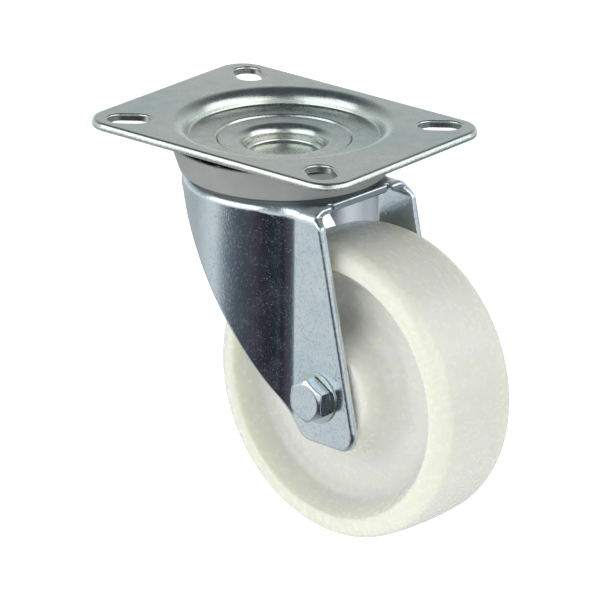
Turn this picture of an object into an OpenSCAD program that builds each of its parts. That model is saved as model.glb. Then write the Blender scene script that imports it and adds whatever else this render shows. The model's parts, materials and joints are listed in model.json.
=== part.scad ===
// Swivel plate caster for a gate: pressed top plate, double ball race swivel
// head, one-piece fork and a solid nylon wheel on a bolted roller axle.
// Origin at the centre of the plate's top face, +Z up, +X along the plate's
// long side. The fork trails along +X, turned by swivel_rest about +Z.

/* [Top plate] */

// Plate size along X
plate_l = 105; // [103:1:112]
// Plate size along Y
plate_w = 80; // [79:1:86]
// Sheet thickness of the plate
plate_t = 2.5; // [2.2:0.1:2.8]
// Radius of the plate's corners
corner_r = 10; // [6:1:11]
// Slot centre spacing along X
slot_x = 80; // [78:1:82]
// Slot centre spacing along Y
slot_y = 60; // [58:1:62]
// Slot width
slot_w = 9; // [8:0.5:9.5]
// Slot length from end to end
slot_len = 14; // [11:0.5:14.5]

/* [Swivel head] */

// Ball diameter of both rings
ball_d = 6; // [5.8:0.1:6.2]
// Number of balls in the upper ring
upper_count = 24; // [12:1:24]
// Number of balls in the lower ring
lower_count = 19; // [10:1:19]
// Angle of the fork and wheel about +Z, at rest
swivel_rest = -3; // [-10:1:10]

/* [Fork] */

// Sheet thickness of the fork
fork_t = 2.5; // [2.3:0.1:2.7]
// Outside width over the two legs
fork_w = 46; // [45:0.5:48]
// Radius of the round skirt and crown
skirt_r = 33; // [32.5:0.1:33.5]
// Trail of the axle behind the swivel axis
trail = 36; // [35.5:0.5:37]
// Drop of the axle below the plate's top face
axle_drop = 79; // [78.5:0.5:81]

/* [Wheel] */

// Wheel diameter at the middle of the tread
wheel_d = 100; // [96:1:102]
// Width over the rim faces
wheel_w = 36; // [34:1:37]
// Length of the hub
hub_l = 39; // [38:0.5:39.5]
// Number of rollers in the hub
roller_count = 10; // [6:1:10]

/* [Hidden] */

$fn = 96;
t = plate_t;
// pressed dish in the plate, as radii and depths of its top face
dish_r = 32.2;
floor_r = 31.1;
floor_z = -4.65;
knee_r = 24.64;
knee_z = -4.8;
step_r = 22.3;
step_z = -4.85;
seat_r = 16.3;
seat_z = -7.5;
seat_a = atan((knee_z - seat_z) / (knee_r - seat_r));
// ball rings
ball_r = ball_d / 2;
gap = 0.05;
upper_r = 24.5;
under_z = seat_z + (upper_r - seat_r) * tan(seat_a) - t / cos(seat_a);
upper_z = under_z - (ball_r + gap) / cos(seat_a);
dome_z = upper_z - ball_r - gap + 1.15;
dome_under = dome_z - fork_t;
lower_r = 19.6;
lower_z = dome_under - ball_r - gap + 1.15;
race_z = lower_z - ball_r - gap + 1;
race_t = 2.2;
// hollow king pin
pin_out = 14.6;
pin_in = 12.9;
flange_r = 21.5;
flange_z = -5.45;
// fork
crown_z = -16.5;
crown_rear = 33.5;
lip_u = 34.3;
notch_y = 13.6;
notch_w = 1.5;
inner_w = fork_w - 2 * fork_t;
half_w = fork_w / 2;
// axle and hub, measured along the axle from the wheel's middle
tube_r = 6;
bolt_r = 4;
roller_r = 1.45;
roller_pitch = 7.5;
sleeve_in = 9;
bore_r = 10;
cap_r = 11.6;
washer_t = 0.6;
washer_r = 8.5;
head_h = 5.3;
hex_af = 13;
nut_h = 6.2;
steel = [0.72, 0.76, 0.78];
bright = [0.80, 0.83, 0.85];
nylon = [0.90, 0.89, 0.80];

function unit(v) = v / norm(v);
function side(a, b) = [-(b - a)[1], (b - a)[0]] / norm(b - a);

// points of the arc that rounds corner b between a and c
function bend(a, b, c, r, n = 6) =
    let (
        u = unit(a - b),
        v = unit(c - b),
        h = acos(u * v) / 2,
        m = b + unit(u + v) * r / sin(h),
        p = b + u * r / tan(h),
        s = atan2(p[1] - m[1], p[0] - m[0]),
        w = sign(cross(b - a, c - b)) * (180 - 2 * h)
    )
    [for (i = [0:n]) m + r * [cos(s + w * i / n), sin(s + w * i / n)]];

// open path with every inner corner rounded by its own radius
function path(p, r, n = 6) = concat(
    [p[0]],
    [for (i = [1:len(p) - 2]) each (r[i] > 0 ? bend(p[i - 1], p[i], p[i + 1], r[i], n) : [p[i]])],
    [p[len(p) - 1]]
);

// closed outline with every corner rounded by its own radius
function ring(p, r, n = 6) = let (k = len(p)) [
    for (i = [0:k - 1]) each (r[i] > 0 ? bend(p[(i + k - 1) % k], p[i], p[(i + 1) % k], r[i], n) : [p[i]])
];

function shifted(p, i, d) =
    let (
        k = len(p) - 1,
        n1 = side(p[max(i - 1, 0)], p[max(i, 1)]),
        n2 = side(p[min(i, k - 1)], p[min(i + 1, k)]),
        m = unit(n1 + n2)
    )
    p[i] + m * d / (m * n1);

// sheet metal section: a top line p, and line q one thickness further down
module sheet(p, q, d) {
    polygon(concat(p, [for (i = [len(q) - 1:-1:0]) shifted(q, i, d)]));
}

module annulus(r_out, r_in, z0, z1) {
    translate([0, 0, z0])
        linear_extrude(z1 - z0)
            difference() {
                circle(r_out);
                circle(r_in);
            }
}

module torus(r, z, d) {
    rotate_extrude()
        translate([r, z])
            circle(d, $fn = 48);
}

// puts a child in the swivelled frame: +X along the trail, +Y along the axle
module swivelled() {
    rotate([0, 0, swivel_rest])
        children();
}

// puts a child drawn about +Z onto the axle, z measured towards +Y
module on_axle() {
    swivelled()
        translate([trail, 0, -axle_drop])
            rotate([-90, 0, 0])
                children();
}

// hexagon standing on a corner once it lies on the axle
module hex(af, h) {
    rotate([0, 0, 30])
        cylinder(d = af / cos(30), h = h, $fn = 6);
}

module plate_outline() {
    polygon(ring(
        [[-plate_l, -plate_w] / 2, [plate_l, -plate_w] / 2, [plate_l, plate_w] / 2, [-plate_l, plate_w] / 2],
        [corner_r, corner_r, corner_r, corner_r],
        10
    ));
}

module slot_outline() {
    run = slot_len - slot_w;
    union() {
        square([run, slot_w], center = true);
        for (s = [-1, 1])
            translate([s * run / 2, 0])
                circle(d = slot_w);
    }
}

// the dish as pressed, and its top face with the small step coined around the king pin
dish_path = path(
    [[39.2, 0], [dish_r, 0], [floor_r, floor_z], [knee_r, knee_z], [seat_r, seat_z]],
    [0, 5, 0.8, 5, 0]
);
dish_top = path(
    [[39.2, 0], [dish_r, 0], [floor_r, floor_z], [step_r, step_z],
     [step_r - 0.6, seat_z + (step_r - 0.6 - seat_r) * tan(seat_a)], [seat_r, seat_z]],
    [0, 5, 0.8, 0.6, 0, 0]
);

module top_plate() {
    color(steel) {
        difference() {
            translate([0, 0, -t])
                linear_extrude(t)
                    plate_outline();
            translate([0, 0, -t - 1])
                cylinder(r = 39.2, h = t + 2);
            for (sx = [-1, 1], sy = [-1, 1])
                translate([sx * slot_x / 2, sy * slot_y / 2, -t - 1])
                    rotate([0, 0, sx * sy * atan(slot_y / slot_x)])
                        linear_extrude(t + 2)
                            slot_outline();
        }
        rotate_extrude()
            sheet(dish_top, dish_path, t);
    }
}

module king_pin() {
    low = race_z - race_t;
    color(bright)
        rotate_extrude()
            polygon(concat(
                path(
                    [[flange_r, -5.7], [flange_r, flange_z], [pin_in, flange_z - 0.25], [pin_in, low - 2]],
                    [0, 0.2, 3.3, 0], 8
                ),
                [[18.4, low - 2], [18.4, low], [pin_out, low]],
                [[pin_out, -8.3], [seat_r, seat_z], [flange_r, seat_z + (flange_r - seat_r) * tan(seat_a)]]
            ));
}

module pin_plug() {
    color(steel)
        rotate_extrude()
            polygon(ring(
                [[0, -10.9], [pin_in - 0.7, -10.9], [pin_in - 0.7, -9.4], [pin_in, -9.4], [pin_in, -11.9], [0, -11.9]],
                [0, 1.2, 0, 0, 0.6, 0], 6
            ));
}

module upper_balls() {
    color(bright)
        for (i = [0:upper_count - 1])
            rotate([0, 0, 360 * i / upper_count])
                translate([upper_r, 0, upper_z])
                    sphere(ball_r, $fn = 16);
}

module lower_balls() {
    color(bright)
        for (i = [0:lower_count - 1])
            rotate([0, 0, 360 * i / lower_count])
                translate([lower_r, 0, lower_z])
                    sphere(ball_r, $fn = 16);
}

module lower_race() {
    color(steel)
        difference() {
            rotate_extrude()
                polygon(ring(
                    [[pin_out, race_z], [24, race_z], [24, race_z - race_t], [pin_out, race_z - race_t]],
                    [0, 0.5, 0.5, 0], 4
                ));
            torus(lower_r, lower_z, ball_r + gap);
        }
}

// dust ring, fixed on the crown and reaching up around the dish
module dust_ring() {
    color([0.52, 0.53, 0.52])
        rotate_extrude()
            polygon(ring(
                [[28.7, crown_z + 2.4], [28.7, crown_z], [29.9, crown_z], [31, crown_z + 1.4],
                 [33.7, crown_z + 1.4], [37.1, -5.2], [35.9, -5.2], [32.7, crown_z + 2.6]],
                [0, 0, 0, 0, 0.6, 0.4, 0.4, 0], 4
            ));
}

module leg_section(w, z, r) {
    polygon(ring(
        [[-w, z], [-w, -100], [w, -100], [w, z]],
        [r, 0, 0, r], 8
    ));
}

module leg_block(w, z, r, u1) {
    rotate([90, 0, 90])
        linear_extrude(u1)
            leg_section(w, z, r);
}

module turned_cup(r, z, bend_r) {
    rotate_extrude()
        polygon(path([[0, z], [r, z], [r, -100], [0, -100]], [0, bend_r, 0, 0], 8));
}

// side outline of the fork: round crown, slanted skirt edge and leg
module fork_side() {
    low = axle_drop + 16;
    polygon(ring(
        [[lip_u, -8], [-40, -8], [-40, crown_z - 4.9], [-20.4, crown_z - 4.9], [29.4, -low],
         [trail + 17.4, -low], [37, -21.8], [lip_u, -18.9]],
        [0, 0, 0, 3, 6.5, 6, 2.5, 0], 8
    ));
}

module fork() {
    color(bright)
        swivelled()
            difference() {
                intersection() {
                    difference() {
                        union() {
                            turned_cup(skirt_r, crown_z, 3);
                            leg_block(half_w, crown_z, 5.5, 60);
                            turned_cup(28.6, dome_z, 2.6);
                        }
                        turned_cup(skirt_r - fork_t, crown_z - fork_t, 0.6);
                        leg_block(half_w - fork_t, crown_z - fork_t, 3, 61);
                        turned_cup(28.6 - fork_t, dome_under, 0.6);
                    }
                    rotate([90, 0, 0])
                        translate([0, 0, -40])
                            linear_extrude(80)
                                fork_side();
                }
                translate([0, 0, dome_under - 1])
                    cylinder(r = 15.6, h = 10);
                translate([crown_rear, -notch_y, -20.5])
                    cube([5, 2 * notch_y, 10]);
                for (s = [-1, 1])
                    translate([crown_rear - 1.3, s * notch_y - notch_w / 2, -20.5])
                        cube([5, notch_w, 10]);
                torus(upper_r, upper_z, ball_r + gap);
                torus(lower_r, lower_z, ball_r + gap);
                translate([trail, 40, -axle_drop])
                    rotate([90, 0, 0])
                        cylinder(r = bolt_r + 0.2, h = 80);
            }
}

// tread, rim, recess and hub of one half, as radius and distance from the middle
function half_wheel() =
    let (
        r = wheel_d / 2,
        w = wheel_w / 2,
        y = w - 6,
        drop = 1.22 * pow(y / w, 2)
    )
    concat(
        [for (i = [0:5]) [r - drop * pow(i / 6, 2), y * i / 6]],
        path(
            [[r - drop, y], [r - drop * (1 + 12 / y), w], [42.4, w - 0.6], [37.6, 7.8], [21.5, 7.2],
             [17, hub_l / 2], [cap_r, hub_l / 2]],
            [0, 5.5, 1.6, 5, 8, 2, 0], 10
        ),
        [[cap_r, hub_l / 2 - 1.5], [bore_r, hub_l / 2 - 1.5]]
    );

module wheel() {
    p = half_wheel();
    color(nylon)
        on_axle()
            rotate_extrude()
                polygon(concat(
                    p,
                    [for (i = [len(p) - 1:-1:1]) [p[i][0], -p[i][1]]]
                ));
}

module hub_cap_near() {
    color(steel)
        on_axle()
            annulus(cap_r, tube_r + 0.35, -hub_l / 2, -hub_l / 2 + 1.5);
}

module hub_cap_far() {
    color(steel)
        on_axle()
            annulus(cap_r, tube_r + 0.35, hub_l / 2 - 1.5, hub_l / 2);
}

module bore_sleeve() {
    color(steel)
        on_axle()
            annulus(bore_r, sleeve_in, -16.8, 16.8);
}

module roller_cage() {
    color([0.18, 0.18, 0.19])
        on_axle()
            difference() {
                annulus(8.6, 6.4, -17, 17);
                for (i = [0:roller_count - 1])
                    rotate([0, 0, 360 * i / roller_count])
                        translate([roller_pitch, 0, -14.2])
                            cylinder(r = roller_r + 0.08, h = 28.4, $fn = 32);
            }
}

module rollers() {
    color(bright)
        on_axle()
            for (i = [0:roller_count - 1])
                rotate([0, 0, 360 * i / roller_count])
                    translate([roller_pitch, 0, -14])
                        cylinder(r = roller_r, h = 28, $fn = 32);
}

module axle_tube() {
    color(steel)
        on_axle()
            annulus(tube_r, bolt_r + 0.15, -inner_w / 2, inner_w / 2);
}

module axle_bolt() {
    seat = half_w + washer_t;
    color(bright)
        on_axle() {
            intersection() {
                translate([0, 0, -seat - head_h])
                    hex(hex_af, head_h);
                rotate_extrude()
                    polygon([[0, -seat - head_h], [5.7, -seat - head_h], [8, -seat - head_h + 1.33],
                             [8, -seat - 0.6], [6.2, -seat], [0, -seat]]);
            }
            translate([0, 0, -seat - 0.5])
                cylinder(r = bolt_r, h = 2 * seat + 10.5);
        }
}

module head_washer() {
    color(steel)
        on_axle()
            annulus(washer_r, bolt_r + 0.2, -half_w - washer_t, -half_w);
}

module nut_washer() {
    color(steel)
        on_axle()
            annulus(washer_r, bolt_r + 0.2, half_w, half_w + washer_t);
}

module lock_nut() {
    seat = half_w + washer_t;
    color(bright)
        on_axle()
            difference() {
                union() {
                    intersection() {
                        translate([0, 0, seat])
                            hex(hex_af, nut_h);
                        rotate_extrude()
                            polygon([[0, seat], [6.3, seat], [8, seat + 1], [8, seat + nut_h - 1],
                                     [6.3, seat + nut_h], [0, seat + nut_h]]);
                    }
                    translate([0, 0, seat + nut_h - 0.5])
                        cylinder(r = 5.9, h = 2.3);
                }
                translate([0, 0, seat - 1])
                    cylinder(r = bolt_r + 0.05, h = 12);
                translate([0, 0, seat + nut_h - 0.2])
                    cylinder(r = 5.2, h = 1.6);
            }
}

module nut_insert() {
    seat = half_w + washer_t;
    color([0.20, 0.36, 0.62])
        on_axle()
            annulus(5.2, bolt_r + 0.02, seat + nut_h - 0.2, seat + nut_h + 1.4);
}

top_plate();
king_pin();
pin_plug();
upper_balls();
lower_balls();
lower_race();
dust_ring();
fork();
wheel();
hub_cap_near();
hub_cap_far();
bore_sleeve();
roller_cage();
rollers();
axle_tube();
axle_bolt();
head_washer();
nut_washer();
lock_nut();
nut_insert();
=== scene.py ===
import json
import math

import bmesh
import bpy
import numpy as np
from mathutils import Matrix, Vector


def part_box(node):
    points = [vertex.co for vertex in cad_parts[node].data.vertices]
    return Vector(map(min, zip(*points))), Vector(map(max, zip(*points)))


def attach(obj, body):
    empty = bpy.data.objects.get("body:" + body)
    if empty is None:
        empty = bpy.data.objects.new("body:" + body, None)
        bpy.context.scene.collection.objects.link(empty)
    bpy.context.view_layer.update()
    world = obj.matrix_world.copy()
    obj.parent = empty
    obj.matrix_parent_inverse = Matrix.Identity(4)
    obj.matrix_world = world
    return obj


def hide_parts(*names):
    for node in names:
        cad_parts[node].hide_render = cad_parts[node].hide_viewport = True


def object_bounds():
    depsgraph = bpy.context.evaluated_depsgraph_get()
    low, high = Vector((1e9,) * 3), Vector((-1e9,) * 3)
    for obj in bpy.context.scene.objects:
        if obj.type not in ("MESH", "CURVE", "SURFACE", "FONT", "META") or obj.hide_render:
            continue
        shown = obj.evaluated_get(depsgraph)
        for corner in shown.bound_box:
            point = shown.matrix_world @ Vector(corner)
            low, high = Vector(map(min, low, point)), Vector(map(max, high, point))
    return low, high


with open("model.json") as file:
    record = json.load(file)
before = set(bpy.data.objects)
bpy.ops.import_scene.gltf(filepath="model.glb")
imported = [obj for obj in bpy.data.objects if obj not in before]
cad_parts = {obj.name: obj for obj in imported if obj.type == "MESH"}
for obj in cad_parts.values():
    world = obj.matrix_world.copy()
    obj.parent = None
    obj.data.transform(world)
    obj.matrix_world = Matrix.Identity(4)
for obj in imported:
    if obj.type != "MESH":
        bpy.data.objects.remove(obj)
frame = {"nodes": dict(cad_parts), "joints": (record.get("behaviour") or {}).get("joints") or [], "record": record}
CAD_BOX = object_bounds()
JOINT = {j["name"]: j for j in frame["joints"]}

MM = 0.001
HUB = Vector(JOINT["wheel_spin"]["pos_m"]) / MM
AXLE = Vector(JOINT["wheel_spin"]["axis"]).normalized()
REST = math.atan2(-AXLE.x, AXLE.y)
TRAIL = math.hypot(HUB.x, HUB.y)
DROP = -HUB.z
SHEET = 2.5


# ---------------------------------------------------------------- outlines

def unit(v):
    return v / np.linalg.norm(v)


def rounded(points, radii, n=10, closed=True):
    """The outline through points, each corner rounded by its own radius."""
    p = np.array(points, float)
    out = []
    last = len(p) - 1
    for i, r in enumerate(radii):
        if r <= 0 or (not closed and i in (0, last)):
            out.append(p[i])
            continue
        a, b, c = p[i - 1], p[i], p[(i + 1) % len(p)]
        u, v = unit(a - b), unit(c - b)
        half = math.acos(np.clip(u @ v, -1, 1)) / 2
        m = b + unit(u + v) * r / math.sin(half)
        s = b + u * r / math.tan(half) - m
        before, after = b - a, c - b
        side = before[0] * after[1] - before[1] * after[0]
        turn = math.copysign(math.pi - 2 * half, side)
        for k in range(n + 1):
            cos, sin = math.cos(turn * k / n), math.sin(turn * k / n)
            out.append(m + [s[0] * cos - s[1] * sin, s[0] * sin + s[1] * cos])
    return np.array(out)


def thick(path, t):
    """The closed outline of a sheet: a line and its copy t to the left of it."""
    d = np.diff(path, axis=0)
    d /= np.linalg.norm(d, axis=1)[:, None]
    n = np.stack([-d[:, 1], d[:, 0]], 1)
    n1, n2 = np.vstack([n[:1], n]), np.vstack([n, n[-1:]])
    m = n1 + n2
    m /= np.linalg.norm(m, axis=1)[:, None]
    return np.vstack([path, (path + m * (t / (m * n1).sum(1))[:, None])[::-1]])


# ---------------------------------------------------------------- distance fields

def d_polygon(x, y, poly):
    """Signed distance to a closed polygon, negative inside."""
    best = np.full(np.broadcast(x, y).shape, 1e9, np.float32)
    odd = np.zeros(best.shape, bool)
    for (x0, y0), (x1, y1) in zip(poly, np.roll(poly, -1, 0)):
        ex, ey = x1 - x0, y1 - y0
        if ex * ex + ey * ey < 1e-12:
            continue
        wx, wy = x - x0, y - y0
        h = np.clip((wx * ex + wy * ey) / (ex * ex + ey * ey), 0, 1)
        best = np.minimum(best, (wx - h * ex) ** 2 + (wy - h * ey) ** 2)
        if ey != 0:
            odd ^= ((y >= y0) != (y >= y1)) & (x < x0 + (y - y0) * ex / ey)
    return np.where(odd, -1, 1) * np.sqrt(best)


def meet(a, b, r):
    """Both shapes, their shared edge rounded to radius r."""
    return np.minimum(np.maximum(a, b), -r) + np.hypot(np.maximum(a + r, 0), np.maximum(b + r, 0))


def join(a, b, r):
    """Either shape, the inner corner between them filled to radius r."""
    return -meet(-a, -b, r)


def d_stadium(x, y, half_run, r):
    return np.hypot(np.maximum(np.abs(x) - half_run, 0), y) - r


# ---------------------------------------------------------------- meshes

def new_object(name, verts, faces, body, mat, normals=None):
    """A smooth mesh object that rides on a body; verts are in metres."""
    mesh = bpy.data.meshes.new(name)
    mesh.from_pydata(verts, [], faces)
    mesh.update()
    mesh.polygons.foreach_set("use_smooth", np.ones(len(mesh.polygons), bool))
    if normals is not None:
        mesh.normals_split_custom_set_from_vertices(normals)
    obj = bpy.data.objects.new(name, mesh)
    bpy.context.scene.collection.objects.link(obj)
    mesh.materials.append(mat)
    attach(obj, body)
    return obj


def gradient(field, p, e):
    """How fast the field grows along each axis at the points p, over a step e."""
    g = np.empty_like(p)
    for i in range(3):
        q = p.copy()
        q[:, i] += e
        a = field(*q.T)
        q[:, i] -= 2 * e
        g[:, i] = (a - field(*q.T)) / (2 * e)
    return g


def surface(field, lo, hi, step):
    """Vertices, quads and normals of the surface where field is zero.

    Each grid cell that the surface cuts gets one vertex at the mean of its edge cuts, each cut grid
    edge gets one quad between its four cells, and the vertices then slide onto the surface.
    """
    axes = [np.arange(a, b + step, step, dtype=np.float32) for a, b in zip(lo, hi)]
    gx, gy, gz = axes[0][:, None, None], axes[1][None, :, None], axes[2][None, None, :]
    v = np.broadcast_to(field(gx, gy, gz), [len(a) for a in axes]).astype(np.float32)
    inside = v < 0
    n = np.array(v.shape) - 1
    total = np.zeros((*n, 3), np.float32)
    count = np.zeros(n, np.int8)
    for axis in range(3):
        o1, o2 = [k for k in range(3) if k != axis]
        a = np.take(v, range(v.shape[axis] - 1), axis)
        b = np.take(v, range(1, v.shape[axis]), axis)
        cross = (a < 0) != (b < 0)
        t = np.where(cross, a / np.where(cross, a - b, 1), 0)
        for s1 in (0, 1):
            for s2 in (0, 1):
                cut = [slice(None)] * 3
                cut[o1] = slice(s1, s1 + n[o1])
                cut[o2] = slice(s2, s2 + n[o2])
                c = cross[tuple(cut)]
                total[..., axis] += np.where(c, t[tuple(cut)], 0)
                total[..., o1] += c * s1
                total[..., o2] += c * s2
                count += c
    used = count > 0
    index = np.full(n, -1, np.int64)
    index[used] = np.arange(used.sum())
    cell = np.argwhere(used)
    p = np.array(lo) + (cell + total[used] / count[used][:, None]) * step
    quads = []
    for axis in range(3):
        o1, o2 = [(1, 2), (2, 0), (0, 1)][axis]
        a = np.take(inside, range(n[axis]), axis)
        b = np.take(inside, range(1, n[axis] + 1), axis)
        e = np.argwhere(a != b)
        e = e[(e[:, o1] > 0) & (e[:, o2] > 0) & (e[:, o1] < n[o1]) & (e[:, o2] < n[o2])]
        corner = []
        for s1, s2 in ((1, 1), (0, 1), (0, 0), (1, 0)):
            c = e.copy()
            c[:, o1] -= s1
            c[:, o2] -= s2
            corner.append(index[tuple(c.T)])
        q = np.stack(corner, 1)
        flip = ~a[tuple(e.T)]
        q[flip] = q[flip][:, ::-1]
        quads.append(q)
    for _ in range(4):
        g = gradient(field, p, step * 0.1)
        d = field(*p.T)[:, None] * g / np.maximum((g * g).sum(1), 1e-6)[:, None]
        size = np.linalg.norm(d, axis=1)[:, None]
        p -= d * np.minimum(1, 0.5 * step / np.maximum(size, 1e-9))
    g = gradient(field, p, step * 0.25)
    return p, np.vstack(quads), g / np.linalg.norm(g, axis=1)[:, None]


SWIVELLED = Matrix.Rotation(REST, 4, "Z")
ON_AXLE = Matrix.Translation(HUB) @ SWIVELLED @ Matrix.Rotation(math.radians(-90), 4, "X")
UPRIGHT = Matrix.Identity(4)


def placed(p, place):
    """The points p moved by the matrix place."""
    m = np.array(place)
    return p @ m[:3, :3].T + m[:3, 3]


def from_field(name, field, lo, hi, step, place, body, mat):
    """The solid where a distance field is negative, as a mesh of about the step's size."""
    p, quads, normals = surface(field, lo, hi, step)
    verts = (placed(p, place) * MM).tolist()
    normals = (normals @ np.array(place)[:3, :3].T).tolist()
    return new_object(name, verts, quads.tolist(), body, mat, normals)


def turned(name, outline, place, body, mat, steps=192, sharp=35):
    """A closed outline of (radius, height) turned about the place's Z axis."""
    area = sum(a[0] * b[1] - b[0] * a[1] for a, b in zip(outline, np.roll(outline, -1, 0)))
    if area < 0:
        outline = outline[::-1]
    verts, faces, k = [], [], len(outline)
    for s in range(steps):
        w = 2 * math.pi * s / steps
        verts += [(max(r, 0) * math.cos(w), max(r, 0) * math.sin(w), z) for r, z in outline]
    for s in range(steps):
        t = (s + 1) % steps
        for i in range(k):
            j = (i + 1) % k
            if outline[i][0] <= 1e-6 and outline[j][0] <= 1e-6:
                continue
            faces.append((s * k + i, t * k + i, t * k + j, s * k + j))
    obj = new_object(name, (placed(np.array(verts), place) * MM).tolist(), faces, body, mat)
    obj.data.validate()
    weld(obj.data)
    obj.data.set_sharp_from_angle(angle=math.radians(sharp))
    return obj


def weld(mesh):
    """Merges the doubled points on the axis and turns all faces outwards."""
    bm = bmesh.new()
    bm.from_mesh(mesh)
    bmesh.ops.remove_doubles(bm, verts=bm.verts, dist=1e-7)
    bmesh.ops.dissolve_degenerate(bm, dist=1e-8, edges=bm.edges)
    bmesh.ops.recalc_face_normals(bm, faces=bm.faces)
    bm.to_mesh(mesh)
    bm.free()


# ---------------------------------------------------------------- materials

def material(name, color, metallic, roughness, **more):
    """A principled material; the shader's other inputs are given with _ for a space."""
    mat = bpy.data.materials.new(name)
    mat.use_nodes = True
    bsdf = mat.node_tree.nodes["Principled BSDF"]
    bsdf.inputs["Base Color"].default_value = (*color, 1)
    bsdf.inputs["Metallic"].default_value = metallic
    bsdf.inputs["Roughness"].default_value = roughness
    for key, value in more.items():
        bsdf.inputs[key.replace("_", " ")].default_value = value
    return mat, mat.node_tree, bsdf


def noise(tree, scale, detail=4.0, rough=0.55, stretch=None):
    """Noise in the object's own metres, so a scale of 100 has blots of about a centimetre."""
    coord = tree.nodes.new("ShaderNodeTexCoord")
    tex = tree.nodes.new("ShaderNodeTexNoise")
    tex.inputs["Scale"].default_value = scale
    tex.inputs["Detail"].default_value = detail
    tex.inputs["Roughness"].default_value = rough
    out = coord.outputs["Object"]
    if stretch:
        mapping = tree.nodes.new("ShaderNodeMapping")
        mapping.inputs["Scale"].default_value = stretch
        tree.links.new(out, mapping.inputs["Vector"])
        out = mapping.outputs["Vector"]
    tree.links.new(out, tex.inputs["Vector"])
    return tex.outputs["Fac"]


def remap(tree, value, a, b, c, d):
    """The value's range a to b spread over c to d and held there."""
    node = tree.nodes.new("ShaderNodeMapRange")
    for key, v in zip(("From Min", "From Max", "To Min", "To Max"), (a, b, c, d)):
        node.inputs[key].default_value = v
    tree.links.new(value, node.inputs["Value"])
    return node.outputs["Result"]


def blend_color(tree, fac, one, two):
    """Colour one where fac is 0, two where it is 1; each is a tuple or a socket."""
    node = tree.nodes.new("ShaderNodeMix")
    node.data_type = "RGBA"
    tree.links.new(fac, node.inputs["Factor"])
    for key, v in (("A", one), ("B", two)):
        socket = [s for s in node.inputs if s.name == key and s.type == "RGBA"][0]
        if isinstance(v, tuple):
            socket.default_value = (*v, 1)
        else:
            tree.links.new(v, socket)
    return [s for s in node.outputs if s.type == "RGBA"][0]


def add_bump(tree, bsdf, height, strength, distance):
    """A bump on top of those that the shader has already."""
    bump = tree.nodes.new("ShaderNodeBump")
    bump.inputs["Strength"].default_value = strength
    bump.inputs["Distance"].default_value = distance
    tree.links.new(height, bump.inputs["Height"])
    if bsdf.inputs["Normal"].links:
        tree.links.new(bsdf.inputs["Normal"].links[0].from_socket, bump.inputs["Normal"])
    tree.links.new(bump.outputs["Normal"], bsdf.inputs["Normal"])


def scratches(tree, scale, stretch, low, high):
    """Sparse short lines: stretched noise, only its highest ridges."""
    return remap(tree, noise(tree, scale, 3, 0.6, stretch), low, high, 0, 1)


def bright_zinc():
    """Smooth blue zinc plating with specks, faint clouds and fine handling marks."""
    mat, tree, bsdf = material("bright_zinc", (0.62, 0.68, 0.72), 1.0, 0.2)
    cloud = noise(tree, 55, 5, 0.6)
    tint = blend_color(tree, remap(tree, cloud, 0.35, 0.65, 0, 1), (0.58, 0.67, 0.72), (0.70, 0.74, 0.76))
    speck = remap(tree, noise(tree, 1300, 2, 0.5), 0.60, 0.70, 0, 1)
    fleck = remap(tree, noise(tree, 2600, 2, 0.5), 0.60, 0.72, 0, 0.4)
    tint = blend_color(tree, fleck, tint, (0.36, 0.42, 0.45))
    tree.links.new(tint, bsdf.inputs["Base Color"])
    gloss = noise(tree, 160, 6, 0.65)
    tree.links.new(remap(tree, gloss, 0.3, 0.7, 0.12, 0.24), bsdf.inputs["Roughness"])
    add_bump(tree, bsdf, noise(tree, 90, 3, 0.5), 0.10, 0.0003)
    add_bump(tree, bsdf, noise(tree, 1300, 4, 0.6), 0.30, 0.00005)
    add_bump(tree, bsdf, speck, 0.42, 0.00004)
    add_bump(tree, bsdf, scratches(tree, 260, (1, 9, 1.5), 0.60, 0.69), 0.4, 0.00004)
    add_bump(tree, bsdf, scratches(tree, 300, (8, 1, 2.5), 0.61, 0.70), 0.4, 0.00004)
    return mat


def maths(tree, kind, one, two=0.0):
    """A maths node; one and two are floats or sockets."""
    node = tree.nodes.new("ShaderNodeMath")
    node.operation = kind
    for socket, v in zip(node.inputs, (one, two)):
        if isinstance(v, float):
            socket.default_value = v
        else:
            tree.links.new(v, socket)
    return node.outputs[0]


def rim_band(tree, half_x, half_y, low, high):
    """One on a centred plate's rim below the height low, fading to zero at high and off the rim."""
    split = tree.nodes.new("ShaderNodeSeparateXYZ")
    tree.links.new(tree.nodes.new("ShaderNodeTexCoord").outputs["Object"], split.inputs[0])
    x = maths(tree, "SUBTRACT", maths(tree, "ABSOLUTE", split.outputs["X"]), half_x)
    y = maths(tree, "SUBTRACT", maths(tree, "ABSOLUTE", split.outputs["Y"]), half_y)
    rim = remap(tree, maths(tree, "MAXIMUM", x, y), -0.004, -0.003, 0, 1)
    band = remap(tree, split.outputs["Z"], low, high, 1, 0)
    return maths(tree, "MULTIPLY", rim, band)


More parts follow.
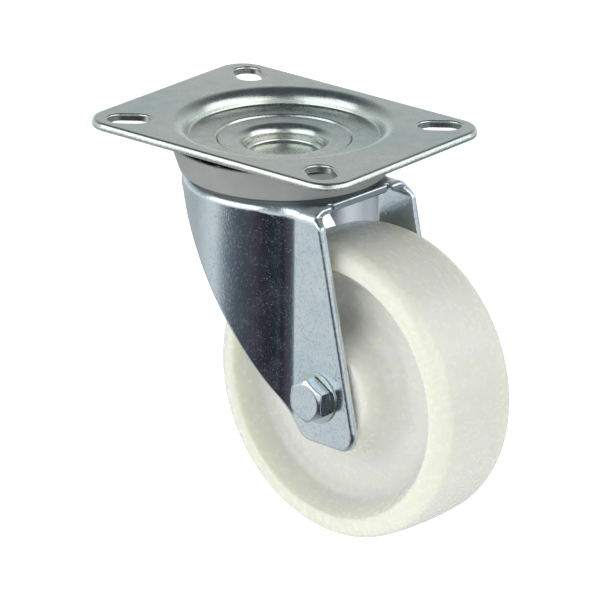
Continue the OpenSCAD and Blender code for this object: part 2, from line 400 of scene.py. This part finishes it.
def satin_zinc(name="satin_zinc", rim=None):
    """Greenish zinc plating on rolled sheet: patches of hue, grain, fine lines, shear marks on a rim."""
    mat, tree, bsdf = material(name, (0.55, 0.58, 0.55), 1.0, 0.3)
    hue = remap(tree, noise(tree, 16, 3, 0.5), 0.40, 0.60, 0, 1)
    tint = blend_color(tree, hue, (0.53, 0.62, 0.58), (0.65, 0.655, 0.605))
    cloud = remap(tree, noise(tree, 60, 5, 0.6), 0.35, 0.65, 0, 0.35)
    tint = blend_color(tree, cloud, tint, (0.72, 0.74, 0.70))
    grain = remap(tree, noise(tree, 1600, 3, 0.6), 0.4, 0.75, 0, 0.45)
    tint = blend_color(tree, grain, tint, (0.42, 0.47, 0.45))
    tree.links.new(tint, bsdf.inputs["Base Color"])
    gloss = noise(tree, 240, 6, 0.6)
    tree.links.new(remap(tree, gloss, 0.3, 0.7, 0.2, 0.32), bsdf.inputs["Roughness"])
    add_bump(tree, bsdf, noise(tree, 70, 3, 0.5), 0.10, 0.0003)
    add_bump(tree, bsdf, noise(tree, 1500, 4, 0.6), 0.30, 0.00005)
    add_bump(tree, bsdf, scratches(tree, 220, (1, 7, 1), 0.64, 0.70), 0.2, 0.00004)
    if rim:
        marks = noise(tree, 900, 4, 0.7, (1, 1, 0.35))
        add_bump(tree, bsdf, maths(tree, "MULTIPLY", marks, rim_band(tree, *rim)), 0.8, 0.0006)
    return mat


def ground_steel():
    """Ground bearing steel: balls, rollers and their sleeve."""
    mat, tree, bsdf = material("ground_steel", (0.6, 0.6, 0.61), 1.0, 0.2)
    tree.links.new(remap(tree, noise(tree, 300, 4), 0.3, 0.7, 0.12, 0.3), bsdf.inputs["Roughness"])
    tint = blend_color(tree, noise(tree, 120, 4), (0.52, 0.53, 0.55), (0.66, 0.66, 0.66))
    tree.links.new(tint, bsdf.inputs["Base Color"])
    return mat


def natural_nylon():
    """Milky cream nylon: light spreads a centimetre inside it, yellow light farther than blue."""
    mat, tree, bsdf = material(
        "natural_nylon", (0.61, 0.608, 0.555), 0.0, 0.26,
        Subsurface_Weight=0.85, Subsurface_Radius=(0.010, 0.0105, 0.005), Subsurface_Scale=1.0,
        IOR=1.53,
    )
    cloud = remap(tree, noise(tree, 22, 3, 0.5), 0.3, 0.7, 0, 1)
    tint = blend_color(tree, cloud, (0.605, 0.604, 0.55), (0.615, 0.611, 0.56))
    tree.links.new(tint, bsdf.inputs["Base Color"])
    tree.links.new(remap(tree, noise(tree, 420, 5), 0.3, 0.7, 0.21, 0.31), bsdf.inputs["Roughness"])
    add_bump(tree, bsdf, noise(tree, 700, 3, 0.5), 0.05, 0.00004)
    add_bump(tree, bsdf, noise(tree, 45, 2, 0.5), 0.05, 0.0004)
    return mat


def plastic(name, color, roughness):
    """A grained matt plastic."""
    mat, tree, bsdf = material(name, color, 0.0, roughness)
    dark = tuple(0.8 * c for c in color)
    tint = blend_color(tree, remap(tree, noise(tree, 90, 4), 0.3, 0.7, 0, 0.6), color, dark)
    tree.links.new(tint, bsdf.inputs["Base Color"])
    gloss = remap(tree, noise(tree, 500, 4), 0.3, 0.7, roughness - 0.07, roughness + 0.07)
    tree.links.new(gloss, bsdf.inputs["Roughness"])
    add_bump(tree, bsdf, noise(tree, 1200, 3), 0.25, 0.00008)
    return mat


MAT = {
    "zinc_bright": bright_zinc(),
    "zinc_plate": satin_zinc(),
    "bare_steel": ground_steel(),
    "nylon": natural_nylon(),
    "ring_plastic": plastic("grey_plastic", (0.235, 0.24, 0.235), 0.5),
    "cage_plastic": plastic("dark_plastic", (0.03, 0.03, 0.034), 0.5),
    "insert_plastic": plastic("blue_plastic", (0.03, 0.09, 0.32), 0.4),
}
SLOT = {s["node"]: s["material_slot"] for s in frame["record"]["subparts"]}
for node, obj in frame["nodes"].items():
    obj.data.materials.clear()
    obj.data.materials.append(MAT[SLOT[node]])


def swap(obj, node):
    """The drawn piece stands in for a plain node of the frame."""
    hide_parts(node)


# ---------------------------------------------------------------- top plate

PLATE_L, PLATE_W, CORNER = 105.0, 80.0, 10.0
SLOT_X, SLOT_Y, SLOT_RUN, SLOT_R = 40.0, 30.0, 2.5, 4.5
ROLLED_EDGE, SHEARED_EDGE = 1.2, 0.25
# the dish's section as (radius, height), and the coined step that only its top face has
DISH = [(75, 0), (32.2, 0), (31.1, -4.65), (24.64, -4.8), (16.3, -7.5)]
STEP = [(22.3, -4.85), (21.7, -5.755)]


def plate_field():
    """The pressed plate: dish section turned about Z, rounded rectangle, four diagonal slots."""
    pressed = rounded(DISH, [0, 5, 0.8, 5, 0], closed=False)
    top = rounded(DISH[:3] + STEP + DISH[4:], [0, 5, 0.8, 0.6, 0.2, 0], closed=False)
    section = np.vstack([top, thick(pressed, SHEET)[len(pressed):]])
    angle = math.atan2(SLOT_Y, SLOT_X)

    def field(x, y, z):
        d = d_polygon(np.hypot(x, y), z, section)
        qx, qy = np.abs(x) - PLATE_L / 2 + CORNER, np.abs(y) - PLATE_W / 2 + CORNER
        rim = np.hypot(np.maximum(qx, 0), np.maximum(qy, 0)) + np.minimum(np.maximum(qx, qy), 0) - CORNER
        upper = z > -SHEET / 2
        d = meet(d, rim, np.where(upper, ROLLED_EDGE, SHEARED_EDGE))
        sx, sy = np.abs(x) - SLOT_X, np.abs(y) - SLOT_Y
        along = sx * math.cos(angle) + sy * math.sin(angle)
        across = sy * math.cos(angle) - sx * math.sin(angle)
        return meet(d, -d_stadium(along, across, SLOT_RUN, SLOT_R), np.where(upper, 0.6, 0.2))

    return field


def make_top_plate():
    half_l, half_w = PLATE_L / 2, PLATE_W / 2
    metal = satin_zinc("sheared_zinc", rim=(half_l * MM, half_w * MM, -1.6 * MM, -0.8 * MM))
    lo, hi = (-half_l - 1, -half_w - 1, -11.5), (half_l + 1, half_w + 1, 1)
    plate = from_field("plate", plate_field(), lo, hi, 0.4, UPRIGHT, "plate_body", metal)
    swap(plate, "top_plate")


# ---------------------------------------------------------------- fork

SKIRT_R, HALF_W, CROWN_Z, CROWN_REAR = 33.0, 23.0, -16.5, 33.5
DOME_R, PIN_HOLE_R, BOLT_HOLE_R = 28.6, 15.6, 4.2
SKIRT_Z = CROWN_Z - 4.9
NOTCH_Y, NOTCH_W, NOTCH_Z = 13.6, 1.5, -20.5
LIP_U = 34.3


def fork_side():
    """The outline that the fork is trimmed to, seen along the axle: (forward, up)."""
    low = DROP + 16
    points = [(LIP_U, -5), (-45, -5), (-45, SKIRT_Z), (-20.4, SKIRT_Z), (29.4, -low),
              (TRAIL + 17.4, -low), (37, -21.8), (LIP_U, -18.9)]
    return rounded(points, [0, 0, 0, 3, 6.5, 6, 2.5, 0])


def fork_field(dome_z):
    """The pressed fork: round skirt and flat legs under a crown, with a raised dome in its middle."""
    side = fork_side()

    def shell(u, y, z, t):
        """The pressing's outer skin, or its inner one when t is the sheet's thickness."""
        reach = np.clip((u - 15) / 11, 0, 1)
        bend = 3 + 2.5 * reach - t
        legs = np.maximum(np.abs(y) - HALF_W + t, -u)
        plan = join(np.hypot(u, y) - SKIRT_R + t, legs, 2.0 if t == 0 else 0.5)
        low = meet(plan, z - CROWN_Z + t, np.maximum(bend, 0.5))
        dome = meet(np.hypot(u, y) - DOME_R + t, z - dome_z + t, 2.6 if t == 0 else 0.6)
        return join(low, dome, 1.2 if t == 0 else 0.3)

    def field(u, y, z):
        d = meet(shell(u, y, z, 0), d_polygon(u, z, side), 1.25)
        d = meet(d, PIN_HOLE_R - np.hypot(u, y), 0.4)
        lip = np.maximum(np.abs(y) - NOTCH_Y, CROWN_REAR - u)
        notch = np.maximum(np.abs(np.abs(y) - NOTCH_Y) - NOTCH_W / 2, CROWN_REAR - 1.3 - u)
        d = meet(d, -np.maximum(np.minimum(lip, notch), NOTCH_Z - z), 0.5)
        d = meet(d, -shell(u, y, z, SHEET), 0.25)
        return meet(d, BOLT_HOLE_R - np.hypot(u - TRAIL, z + DROP), 0.3)

    return field


def make_fork():
    dome_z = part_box("fork")[1].z / MM
    lo, hi = (-SKIRT_R - 1, -SKIRT_R - 1, -DROP - 17), (TRAIL + 18.5, SKIRT_R + 1, dome_z + 1)
    fork = from_field("fork_shell", fork_field(dome_z), lo, hi, 0.5,
                      SWIVELLED, "fork_body", MAT["zinc_bright"])
    swap(fork, "fork")


# ---------------------------------------------------------------- wheel

TREAD_RUN, TREAD_STEPS = 12.0, 14
WHEEL_HALF, HUB_HALF, CAP_R, CAP_T, BORE_R = 18.0, 19.5, 11.6, 1.5, 10.0


def wheel_outline():
    """The wheel's section as (radius, along the axle): crowned tread, round shoulders, dished sides."""
    lo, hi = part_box("wheel")
    r = (hi.z - lo.z) / 2 / MM
    drop = 1.22 * (TREAD_RUN / WHEEL_HALF) ** 2
    at = [i / TREAD_STEPS for i in range(TREAD_STEPS)]
    tread = [(r - drop * a ** 2, a * TREAD_RUN) for a in at]
    side = rounded(
        [(r - drop, TREAD_RUN), (r - 2 * drop, WHEEL_HALF), (42.4, WHEEL_HALF - 0.6), (37.6, 7.8),
         (21.5, 7.2), (17, HUB_HALF), (CAP_R, HUB_HALF)],
        [0, 5.5, 1.6, 5, 8, 2, 0], 14, closed=False,
    )
    seat = [(CAP_R, HUB_HALF - CAP_T), (BORE_R, HUB_HALF - CAP_T)]
    half = np.vstack([tread, side, seat])
    return np.vstack([half, half[:0:-1] * [1, -1]])


def make_wheel():
    wheel = turned("nylon_wheel", wheel_outline(), ON_AXLE, "wheel_body", MAT["nylon"], steps=256)
    swap(wheel, "wheel")


# ---------------------------------------------------------------- swivel head

FLANGE_R, FLANGE_Z, PIN_OUT, PIN_IN, RIVET_R = 21.5, -5.45, 14.6, 12.9, 18.4
PLUG_TOP, PLUG_FLOOR, PLUG_LOW = -9.4, -10.9, -11.9
RING_TOP = -5.2


def pin_outline(low, race):
    """The hollow pin's section: flange in the dish, funnel mouth, bore, riveted foot under the race."""
    (knee_r, knee_z), (seat_r, seat_z) = DISH[3:]
    slope = (knee_z - seat_z) / (knee_r - seat_r)
    mouth = [(FLANGE_R, FLANGE_Z - 0.25), (FLANGE_R, FLANGE_Z), (PIN_IN, FLANGE_Z - 0.25), (PIN_IN, low)]
    foot = [(PIN_IN, low), (RIVET_R, low), (RIVET_R, race), (PIN_OUT, race)]
    return np.vstack([
        rounded(mouth, [0, 0.2, 3.3, 0], 16, closed=False),
        rounded(foot, [0, 0.8, 0.5, 0], closed=False)[1:],
        [(PIN_OUT, seat_z - 0.8), (seat_r, seat_z), (FLANGE_R, seat_z + (FLANGE_R - seat_r) * slope)],
    ])


def plug_outline():
    """A shallow cup that closes the pin's bore."""
    wall_r = PIN_IN - 0.7
    return rounded(
        [(0, PLUG_FLOOR), (wall_r, PLUG_FLOOR), (wall_r, PLUG_TOP), (PIN_IN, PLUG_TOP),
         (PIN_IN, PLUG_LOW), (0, PLUG_LOW)],
        [0, 1.2, 0.2, 0.1, 0.6, 0],
    )


def ring_outline():
    """The conical dust ring: it sits on the crown around the dome and flares up under the plate."""
    z = CROWN_Z
    return rounded(
        [(28.7, z + 2.4), (28.7, z), (29.9, z), (31, z + 1.4), (33.7, z + 1.4),
         (37.1, RING_TOP), (35.9, RING_TOP), (32.7, z + 2.6)],
        [0.2, 0.2, 0.2, 0.4, 0.7, 0.45, 0.45, 0.6],
    )


def make_head():
    pin = pin_outline(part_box("king_pin")[0].z / MM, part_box("lower_race")[0].z / MM)
    for name, node, outline, body, slot in (
        ("pin_rivet", "king_pin", pin, "plate_body", "zinc_plate"),
        ("pin_cover", "pin_plug", plug_outline(), "plate_body", "zinc_plate"),
        ("seal_ring", "dust_ring", ring_outline(), "fork_body", "ring_plastic"),
    ):
        swap(turned(name, outline, UPRIGHT, body, MAT[slot]), node)


# ---------------------------------------------------------------- axle hardware

HEX_AF, HEAD_H, NUT_H, WASHER_T, WASHER_R, BOLT_R, PITCH = 13.0, 5.3, 6.2, 0.6, 8.5, 4.0, 1.25
SEAT = HALF_W + WASHER_T
# the direction square to the cone that bevels the hexagons' corners at 30 degrees
CONE_R, CONE_Z = 0.5, 0.86


def d_hex(x, y, af):
    """Distance to a hexagon with the width af across its flats."""
    x, y = np.abs(x), np.abs(y)
    return np.maximum(x * 0.5 + y * math.cos(math.radians(30)), x) - af / 2


def bolt_field(end):
    """The hexagon bolt: chamfered head with a round bearing face, shank, thread near its end."""
    def field(x, y, z):
        r = np.hypot(x, y)
        s = SEAT + z
        head = meet(d_hex(x, y, HEX_AF), np.abs(s + HEAD_H / 2) - HEAD_H / 2, 0.15)
        head = meet(head, (r - 5.7) * CONE_R + (-HEAD_H - s) * CONE_Z, 0.2)
        head = meet(head, np.minimum(r - 6.25, s + 0.35), 0.1)
        turn = np.arctan2(y, x) / (2 * math.pi)
        ridge = 0.28 * (0.5 + 0.5 * np.cos(2 * math.pi * (z / PITCH - turn)))
        body = r - BOLT_R + np.where(z > SEAT - 8, ridge, 0)
        shank = meet(body, np.maximum(z - end, -z - SEAT - 0.5), 0.6)
        return np.minimum(head, shank)

    return field


def nut_field(height):
    """The lock nut: hexagon, round collar, and the groove in it that holds the plastic insert."""
    def field(x, y, z):
        r = np.hypot(x, y)
        s = z - SEAT
        body = meet(d_hex(x, y, HEX_AF), np.abs(s - height / 2) - height / 2, 0.15)
        body = meet(body, (r - 6.3) * CONE_R + (s - height) * CONE_Z, 0.2)
        body = meet(body, (r - 6.3) * CONE_R - s * CONE_Z, 0.2)
        collar = meet(r - 5.9, np.maximum(s - height - 1.8, 1 - s), 0.8)
        d = join(body, collar, 0.3)
        d = meet(d, BOLT_R + 0.05 - r, 0.2)
        return np.maximum(d, -np.maximum(r - 5.2, np.abs(s - height - 0.6) - 0.8))

    return field


def make_axle():
    end = SEAT + 10
    for name, node, field, low, high in (
        ("bolt", "axle_bolt", bolt_field(end), -SEAT - HEAD_H - 0.6, end + 0.6),
        ("nut", "lock_nut", nut_field(NUT_H), SEAT - 0.6, SEAT + 8.6),
    ):
        swap(from_field(name, field, (-8, -8, low), (8, 8, high), 0.25,
                        ON_AXLE, "fork_body", MAT["zinc_bright"]), node)
    for name, node, a in (("washer_near", "head_washer", -SEAT), ("washer_far", "nut_washer", HALF_W)):
        outline = rounded(
            [(BOLT_R + 0.2, a), (WASHER_R, a), (WASHER_R, a + WASHER_T), (BOLT_R + 0.2, a + WASHER_T)],
            [0.1, 0.2, 0.2, 0.1], 5,
        )
        swap(turned(name, outline, ON_AXLE, "fork_body", MAT["zinc_plate"], 96), node)


make_top_plate()
make_fork()
make_wheel()
make_head()
make_axle()


# ---------------------------------------------------------------- stage, light, camera

# the point that the lamps and the camera are set out from
AIM = Vector((0, 0, -60))


def ramp_stops(ramp, stops):
    """Gives a colour ramp its stops, each a (position, colour)."""
    while len(ramp.elements) > 1:
        ramp.elements.remove(ramp.elements[-1])
    ramp.elements[0].position = stops[0][0]
    ramp.elements[0].color = (*stops[0][1], 1)
    for at, color in stops[1:]:
        ramp.elements.new(at).color = (*color, 1)


def make_floor():
    """A white floor, clear from below; metal mirrors the room's own lower half instead."""
    bpy.ops.mesh.primitive_plane_add(size=14, location=(0, 0, CAD_BOX[0].z))
    floor = bpy.context.object
    floor.name = "floor"
    mat = bpy.data.materials.new("floor_white")
    mat.use_nodes = True
    tree = mat.node_tree
    bsdf = tree.nodes["Principled BSDF"]
    bsdf.inputs["Base Color"].default_value = (0.8, 0.8, 0.8, 1)
    bsdf.inputs["Roughness"].default_value = 0.9
    bsdf.inputs["Specular IOR Level"].default_value = 0.1
    bsdf.inputs["Emission Color"].default_value = (1, 1, 1, 1)
    bsdf.inputs["Emission Strength"].default_value = 0.6
    clear, mix = tree.nodes.new("ShaderNodeBsdfTransparent"), tree.nodes.new("ShaderNodeMixShader")
    tree.links.new(tree.nodes.new("ShaderNodeNewGeometry").outputs["Backfacing"], mix.inputs[0])
    tree.links.new(bsdf.outputs[0], mix.inputs[1])
    tree.links.new(clear.outputs[0], mix.inputs[2])
    tree.links.new(mix.outputs[0], tree.nodes["Material Output"].inputs["Surface"])
    floor.data.materials.append(mat)
    floor.visible_glossy = False


def make_softbox(name, azimuth, elevation, distance, size, power, mirrored=True):
    """A rectangular lamp aimed at AIM, in metres; azimuth is measured from +X towards +Y."""
    az, el = math.radians(azimuth), math.radians(elevation)
    out = Vector((math.cos(az) * math.cos(el), math.sin(az) * math.cos(el), math.sin(el)))
    light = bpy.data.lights.new(name, "AREA")
    light.shape = "RECTANGLE"
    light.size, light.size_y = size
    light.energy = power
    obj = bpy.data.objects.new(name, light)
    obj.location = AIM * MM + out * distance
    obj.rotation_euler = out.to_track_quat("Z", "Y").to_euler()
    obj.visible_glossy = mirrored
    bpy.context.scene.collection.objects.link(obj)


# brightness of the room by the sine of the elevation, and of the table by azimuth in degrees;
# the table is bright on the far side and darkest between the two softboxes, with one plum streak
SKY = [(-1.0, 0.9), (0.0, 1.0), (0.2, 0.82), (0.34, 0.62), (0.56, 0.34), (0.72, 0.10), (1.0, 0.09)]
TABLE = [
    (-180, 0.60), (-168, 0.56), (-156, 0.68), (-146, 0.80), (-134, 0.86), (-127, 0.56), (-119, 0.24),
    (-108, 0.13), (-96, 0.08), (-84, 0.05), (-72, 0.025), (-58, 0.025), (-46, 0.08), (-20, 0.26), (10, 0.21),
    (40, 0.27), (60, 0.34), (95, 0.45), (130, 0.6), (180, 0.6),
]
PLUM_AT = -84
# what metal that looks straight down sees
FOOT = (0.45, 0.46, 0.47)


def tinted(v):
    """The studio's light: bright parts nearly white, dark parts blue."""
    return (v * (0.95 if v > 0.3 else 0.85), v, v * (1.02 if v > 0.3 else 1.18))


def table_tint(az, v):
    """As tinted, but plum at one azimuth."""
    return (1.5 * v, 1.15 * v, 1.6 * v) if az == PLUM_AT else tinted(v)


def make_world():
    """A room white along the horizon and dark overhead; metal sees a table dark towards the camera."""
    world = bpy.data.worlds.new("studio")
    bpy.context.scene.world = world
    world.use_nodes = True
    tree = world.node_tree
    coord = tree.nodes.new("ShaderNodeTexCoord").outputs["Generated"]
    split = tree.nodes.new("ShaderNodeSeparateXYZ")
    radial = tree.nodes.new("ShaderNodeTexGradient")
    radial.gradient_type = "RADIAL"
    tree.links.new(coord, split.inputs[0])
    tree.links.new(coord, radial.inputs["Vector"])
    sky, table = (tree.nodes.new("ShaderNodeValToRGB") for _ in range(2))
    tree.links.new(remap(tree, split.outputs["Z"], -1, 1, 0, 1), sky.inputs["Fac"])
    tree.links.new(radial.outputs["Fac"], table.inputs["Fac"])
    ramp_stops(sky.color_ramp, [((z + 1) / 2, tinted(v)) for z, v in SKY])
    ramp_stops(table.color_ramp, [((az + 180) / 360, table_tint(az, v)) for az, v in TABLE])
    below = remap(tree, split.outputs["Z"], -0.03, -0.12, 0, 1)
    steep = remap(tree, split.outputs["Z"], -0.6, -0.9, 0, 1)
    mixed = blend_color(tree, below, sky.outputs["Color"], table.outputs["Color"])
    mixed = blend_color(tree, steep, mixed, FOOT)
    tree.links.new(mixed, tree.nodes["Background"].inputs["Color"])
    tree.nodes["Background"].inputs["Strength"].default_value = 1.0


# degrees, then millimetres; azimuth is measured from -Y towards +X
CAM = {
    "azimuth": 39.475, "elevation": 20.492, "roll": 0.426,
    "side": 5.48, "lift": -1.09, "distance": 2124.0, "lens": 392.5,
}


def make_camera():
    """A long lens that looks past AIM by the side and lift shifts."""
    az, el, roll = (math.radians(CAM[k]) for k in ("azimuth", "elevation", "roll"))
    back = Vector((math.sin(az) * math.cos(el), -math.cos(az) * math.cos(el), math.sin(el)))
    right = Vector((math.cos(az), math.sin(az), 0))
    up = back.cross(right)
    right, up = right * math.cos(roll) + up * math.sin(roll), up * math.cos(roll) - right * math.sin(roll)
    where = AIM + back * CAM["distance"] + right * CAM["side"] + up * CAM["lift"]
    data = bpy.data.cameras.new("camera")
    data.lens = CAM["lens"]
    data.sensor_width = 36
    data.clip_end = 50
    cam = bpy.data.objects.new("camera", data)
    turn = Matrix((right, up, back)).transposed().to_4x4()
    cam.matrix_world = Matrix.Translation(where * MM) @ turn
    bpy.context.scene.collection.objects.link(cam)
    bpy.context.scene.camera = cam


make_floor()
make_world()
make_softbox("softbox_left", -108, 34, 1.3, (1.68, 0.95), 7.4)
make_softbox("softbox_right", 14, 34, 1.3, (2.0, 0.95), 8.6)
# these two light the matt pieces only: metal doesn't mirror them
make_softbox("overhead", -50, 82, 1.3, (1.0, 1.0), 5.0, mirrored=False)
make_softbox("fill", -88, 8, 1.3, (1.0, 1.0), 5.0, mirrored=False)
make_camera()
bpy.context.scene.view_settings.view_transform = "Standard"
